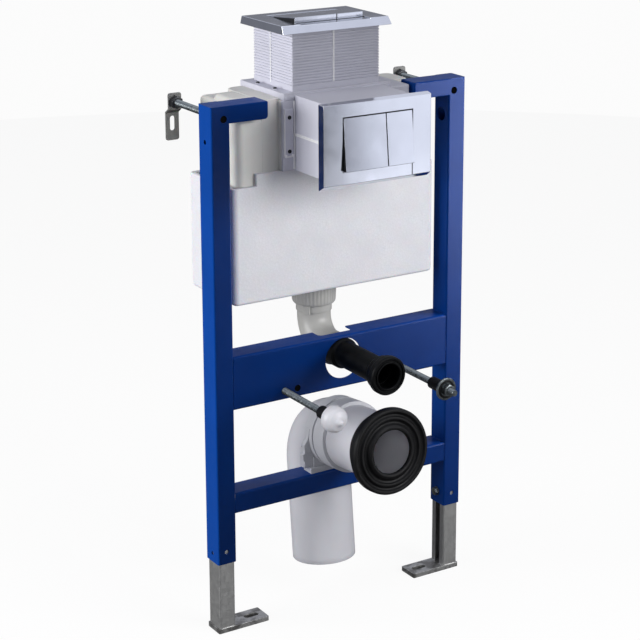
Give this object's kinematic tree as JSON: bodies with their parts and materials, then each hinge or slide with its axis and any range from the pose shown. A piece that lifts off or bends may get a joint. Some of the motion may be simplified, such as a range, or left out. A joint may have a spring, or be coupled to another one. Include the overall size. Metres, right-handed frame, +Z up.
{
  "type": "wall hung toilet frame",
  "caption": "Blue steel frame for a wall hung toilet, with concealed cistern, top and front flush plates, flush and soil pipes, pan studs, wall ties and sliding legs.",
  "frame": {"origin": "on the wall face of the left wall bracket, midway across it and 8 mm above its lower end, below the slot", "axes": "+Z up along the uprights, +Y from the front of the frame into the wall, +X to the right seen from the front"},
  "size_m": [0.49, 0.358, 1.021],
  "materials": {
    "frame_paint": "blue powder coat, satin",
    "galvanised": "galvanised sheet, dull",
    "zinc_steel": "zinc plated, satin",
    "foam": "expanded polystyrene, matt",
    "tank_plastic": "moulded plastic, satin",
    "shaft_plastic": "moulded plastic, satin",
    "chrome": "polished",
    "black_pe": "semi gloss",
    "black_rubber": "matt",
    "white_pipe": "satin",
    "clip_plastic": "satin"
  },
  "bodies": {
    "frame": {"cistern_tank": "tank_plastic", "flush_bend": "tank_plastic", "flush_collar": "black_pe", "flush_pipe": "black_pe", "front_flange": "tank_plastic", "front_plate": "chrome", "front_shaft": "shaft_plastic", "jacket_back": "foam", "jacket_front": "foam", "left_leg_bolt": "zinc_steel", "left_rod_nut": "zinc_steel", "left_stud": "zinc_steel", "left_stud_cap": "white_pipe", "left_stud_sleeve": "black_rubber", "left_upright": "frame_paint", "left_wall_bracket": "galvanised", "left_wall_rod": "zinc_steel", "lower_crossbar": "frame_paint", "outlet_nut": "tank_plastic", "pan_seal": "black_rubber", "pan_spigot": "white_pipe", "pipe_clip": "clip_plastic", "right_leg_bolt": "zinc_steel", "right_rod_nut": "zinc_steel", "right_stud": "zinc_steel", "right_stud_nut": "zinc_steel", "right_stud_sleeve": "black_rubber", "right_stud_washer": "zinc_steel", "right_upright": "frame_paint", "right_wall_bracket": "galvanised", "right_wall_rod": "zinc_steel", "soil_bend": "white_pipe", "top_flange": "tank_plastic", "top_plate": "chrome", "top_shaft": "shaft_plastic", "upper_crossbar": "frame_paint"},
    "left_leg": {"left_leg": "galvanised", "left_foot_plate": "galvanised"},
    "right_leg": {"right_leg": "galvanised", "right_foot_plate": "galvanised"},
    "top_large_button": {"top_large_button": "chrome"},
    "top_small_button": {"top_small_button": "chrome"},
    "front_large_button": {"front_large_button": "chrome"},
    "front_small_button": {"front_small_button": "chrome"}
  },
  "joints": [
    {"name": "left_leg_slide", "type": "slide", "parent": "frame", "child": "left_leg", "axis": [0, 0, 1], "range_m": [-0.06, 0.115]},
    {"name": "right_leg_slide", "type": "slide", "parent": "frame", "child": "right_leg", "axis": [0, 0, 1], "range_m": [-0.06, 0.115]},
    {"name": "top_large_button_hinge", "type": "hinge", "parent": "frame", "child": "top_large_button", "pos_m": [0.222, -0.0478, 0.189], "axis": [1, 0, 0], "range_deg": [0, 5], "stiffness_Nm_per_rad": 6, "springref_deg": -3.44},
    {"name": "top_small_button_hinge", "type": "hinge", "parent": "frame", "child": "top_small_button", "pos_m": [0.222, -0.0478, 0.189], "axis": [1, 0, 0], "range_deg": [0, 5], "stiffness_Nm_per_rad": 6, "springref_deg": -3.44},
    {"name": "front_large_button_hinge", "type": "hinge", "parent": "frame", "child": "front_large_button", "pos_m": [0.222, -0.279, 0.0612], "axis": [1, 0, 0], "range_deg": [0, 5], "stiffness_Nm_per_rad": 6, "springref_deg": -3.44},
    {"name": "front_small_button_hinge", "type": "hinge", "parent": "frame", "child": "front_small_button", "pos_m": [0.222, -0.279, 0.0612], "axis": [1, 0, 0], "range_deg": [0, 5], "stiffness_Nm_per_rad": 6, "springref_deg": -3.44}
  ]
}
